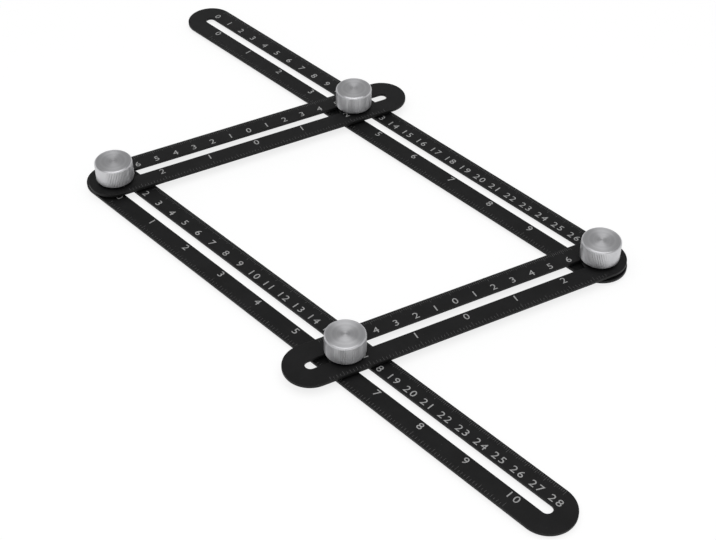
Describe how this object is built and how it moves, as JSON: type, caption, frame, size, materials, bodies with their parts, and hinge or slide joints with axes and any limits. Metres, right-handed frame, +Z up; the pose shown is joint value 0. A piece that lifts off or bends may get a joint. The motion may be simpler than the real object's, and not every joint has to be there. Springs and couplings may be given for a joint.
{
  "type": "multi-angle folding ruler",
  "caption": "Four slotted arms with printed scales, crossing at four clamp screws with round knobs, that fold and slide to copy and mark out any angle.",
  "frame": {"origin": "on the table under the four screw heads, midway between the outermost ends of the long arms and of the short arms", "axes": "+X along the long arms, the way their scales count up; +Z up from the table; +Y from the front long arm to the rear one"},
  "size_m": [0.3798, 0.1818, 0.0168],
  "materials": {
    "black_anodised_aluminium": "satin black anodising with pale printed scales",
    "turned_aluminium": "turned top, fine knurled side",
    "plated_steel": "satin zinc plate",
    "black_nylon": "moulded, matt"
  },
  "bodies": {
    "front_long_arm": {"front_long_arm": "black_anodised_aluminium"},
    "rear_long_arm": {"rear_long_arm": "black_anodised_aluminium"},
    "left_short_arm": {"left_short_arm": "black_anodised_aluminium"},
    "right_short_arm": {"right_short_arm": "black_anodised_aluminium"},
    "front_left_screw": {"front_left_screw": "plated_steel"},
    "rear_left_screw": {"rear_left_screw": "plated_steel"},
    "rear_right_screw": {"rear_right_screw": "plated_steel"},
    "front_right_screw": {"front_right_screw": "plated_steel"},
    "front_left_spacer_washer": {"front_left_spacer_washer": "black_nylon"},
    "rear_left_spacer_washer": {"rear_left_spacer_washer": "black_nylon"},
    "rear_right_spacer_washer": {"rear_right_spacer_washer": "black_nylon"},
    "front_right_spacer_washer": {"front_right_spacer_washer": "black_nylon"},
    "front_left_knob_washer": {"front_left_knob_washer": "black_nylon"},
    "rear_left_knob_washer": {"rear_left_knob_washer": "black_nylon"},
    "rear_right_knob_washer": {"rear_right_knob_washer": "black_nylon"},
    "front_right_knob_washer": {"front_right_knob_washer": "black_nylon"},
    "front_left_knob": {"front_left_knob": "turned_aluminium"},
    "rear_left_knob": {"rear_left_knob": "turned_aluminium"},
    "rear_right_knob": {"rear_right_knob": "turned_aluminium"},
    "front_right_knob": {"front_right_knob": "turned_aluminium"}
  },
  "joints": [
    {"name": "front_left_screw_slide", "type": "slide", "parent": "front_long_arm", "child": "front_left_screw", "axis": [1, 0, 0], "range_m": [0, 0.024]},
    {"name": "fold", "type": "hinge", "parent": "front_left_screw", "child": "front_left_spacer_washer", "pos_m": [-0.0994, -0.06245, 0.0031], "axis": [0, 0, 1], "range_deg": [-58, 92]},
    {"name": "left_arm_slide", "type": "slide", "parent": "front_left_spacer_washer", "child": "left_short_arm", "axis": [0.2924, 0.9563, 0], "range_m": [-0.016, 0.0005]},
    {"name": "left_span_slide", "type": "slide", "parent": "front_left_spacer_washer", "child": "rear_left_spacer_washer", "axis": [0.2924, 0.9563, 0], "range_m": [-0.033, 0]},
    {"name": "rear_left_turn", "type": "hinge", "parent": "rear_left_spacer_washer", "child": "rear_left_screw", "pos_m": [-0.0611, 0.06283, 0.0031], "axis": [0, 0, 1], "range_deg": [-92, 58]},
    {"name": "rear_arm_slide", "type": "slide", "parent": "rear_left_screw", "child": "rear_long_arm", "axis": [1, 0, 0], "range_m": [0, 0.115]},
    {"name": "front_right_screw_slide", "type": "slide", "parent": "front_long_arm", "child": "front_right_screw", "axis": [1, 0, 0], "range_m": [-0.04, 0]},
    {"name": "front_right_turn", "type": "hinge", "parent": "front_right_screw", "child": "front_right_spacer_washer", "pos_m": [0.0635, -0.06245, 0.0031], "axis": [0, 0, 1], "range_deg": [-58, 92]},
    {"name": "right_arm_slide", "type": "slide", "parent": "front_right_spacer_washer", "child": "right_short_arm", "axis": [0.2924, 0.9563, 0], "range_m": [0, 0.0165]},
    {"name": "right_span_slide", "type": "slide", "parent": "front_right_spacer_washer", "child": "rear_right_spacer_washer", "axis": [0.2924, 0.9563, 0], "range_m": [-0.033, 0]},
    {"name": "rear_right_turn", "type": "hinge", "parent": "rear_right_spacer_washer", "child": "rear_right_screw", "pos_m": [0.1018, 0.06283, 0.0031], "axis": [0, 0, 1], "range_deg": [-92, 58]},
    {"name": "front_left_knob_rise", "type": "slide", "parent": "front_left_screw", "child": "front_left_knob_washer", "axis": [0, 0, 1], "range_m": [0, 0.0016]},
    {"name": "front_left_knob_turn", "type": "hinge", "parent": "front_left_knob_washer", "child": "front_left_knob", "pos_m": [-0.0994, -0.06245, 0.0068], "axis": [0, 0, 1], "range_deg": [0, 721]},
    {"name": "rear_left_knob_rise", "type": "slide", "parent": "rear_left_screw", "child": "rear_left_knob_washer", "axis": [0, 0, 1], "range_m": [0, 0.0016]},
    {"name": "rear_left_knob_turn", "type": "hinge", "parent": "rear_left_knob_washer", "child": "rear_left_knob", "pos_m": [-0.0611, 0.06283, 0.0068], "axis": [0, 0, 1], "range_deg": [0, 721]},
    {"name": "rear_right_knob_rise", "type": "slide", "parent": "rear_right_screw", "child": "rear_right_knob_washer", "axis": [0, 0, 1], "range_m": [0, 0.0016]},
    {"name": "rear_right_knob_turn", "type": "hinge", "parent": "rear_right_knob_washer", "child": "rear_right_knob", "pos_m": [0.1018, 0.06283, 0.0068], "axis": [0, 0, 1], "range_deg": [0, 721]},
    {"name": "front_right_knob_rise", "type": "slide", "parent": "front_right_screw", "child": "front_right_knob_washer", "axis": [0, 0, 1], "range_m": [0, 0.0016]},
    {"name": "front_right_knob_turn", "type": "hinge", "parent": "front_right_knob_washer", "child": "front_right_knob", "pos_m": [0.0635, -0.06245, 0.0068], "axis": [0, 0, 1], "range_deg": [0, 721]}
  ],
  "couplings": [
    {"joint": "rear_left_turn", "follows": "fold", "ratio": -1},
    {"joint": "front_right_turn", "follows": "fold", "ratio": 1},
    {"joint": "rear_right_turn", "follows": "fold", "ratio": -1},
    {"joint": "right_span_slide", "follows": "left_span_slide", "ratio": 1},
    {"joint": "front_left_knob_turn", "follows": "front_left_knob_rise", "rad_per_m": 7854},
    {"joint": "rear_left_knob_turn", "follows": "rear_left_knob_rise", "rad_per_m": 7854},
    {"joint": "rear_right_knob_turn", "follows": "rear_right_knob_rise", "rad_per_m": 7854},
    {"joint": "front_right_knob_turn", "follows": "front_right_knob_rise", "rad_per_m": 7854}
  ]
}
